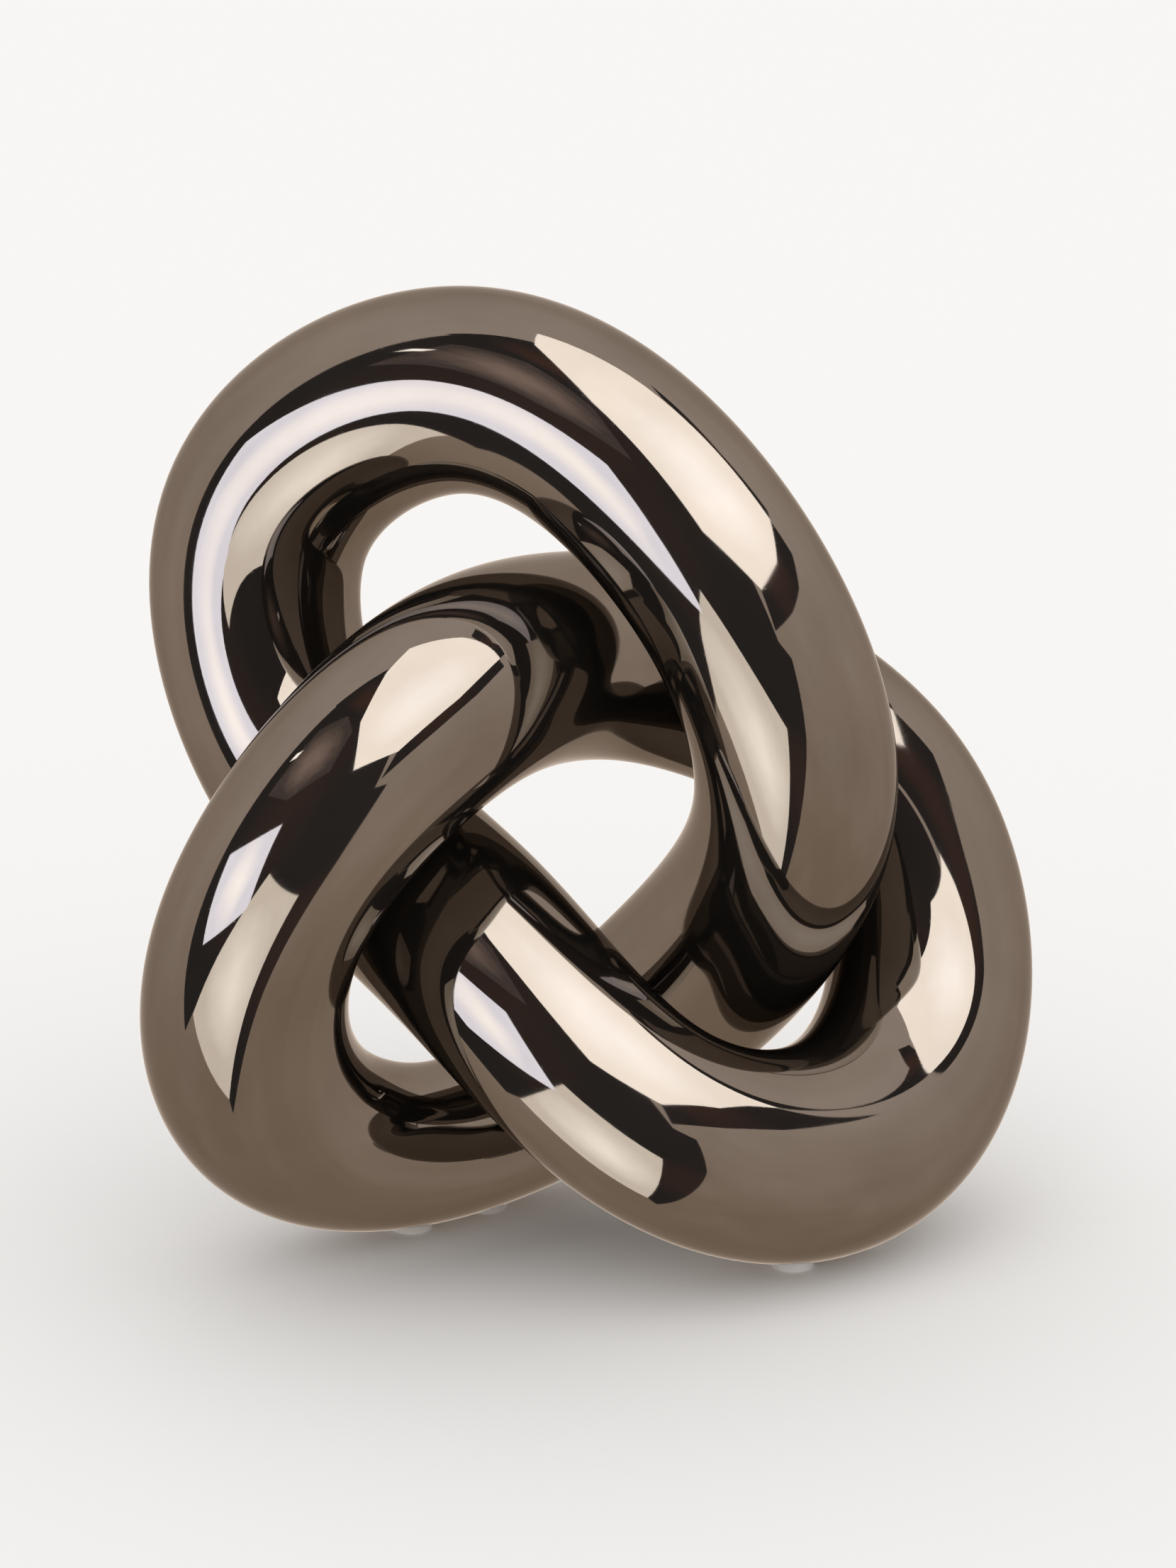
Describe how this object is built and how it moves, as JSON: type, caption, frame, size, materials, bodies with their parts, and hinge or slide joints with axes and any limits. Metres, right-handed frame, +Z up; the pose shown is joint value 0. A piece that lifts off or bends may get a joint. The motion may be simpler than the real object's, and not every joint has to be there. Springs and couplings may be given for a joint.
{
  "type": "knot sculpture",
  "caption": "Closed knot of thick round hollow metal tube with lobes at the top, left and right, standing on its lower lobes on thin round pads.",
  "frame": {"origin": "on the table, under the middle of the knot", "axes": "+Z up, +X to the viewer's right in the picture, +Y away from the viewer"},
  "size_m": [0.1721, 0.111, 0.1825],
  "materials": {
    "plated_tube": "cast, ground flush and mirror polished, dark bronze nickel plate",
    "bare_sleeve": "as drawn",
    "steel_plug": "blackened",
    "felt_pad": "dense white felt, stuck on"
  },
  "bodies": {
    "root": {"upper_right_limb": "plated_tube", "lower_left_limb": "plated_tube", "middle_limb": "plated_tube", "right_limb": "plated_tube", "lower_right_limb": "plated_tube", "upper_left_limb": "plated_tube", "top_joint_sleeve": "bare_sleeve", "lower_crossing_sleeve": "bare_sleeve", "left_joint_sleeve": "bare_sleeve", "right_crossing_sleeve": "bare_sleeve", "right_joint_sleeve": "bare_sleeve", "left_crossing_sleeve": "bare_sleeve", "vent_plug": "steel_plug", "left_back_pad": "felt_pad", "left_front_pad": "felt_pad", "right_back_pad": "felt_pad", "right_front_pad": "felt_pad"}
  },
  "joints": []
}
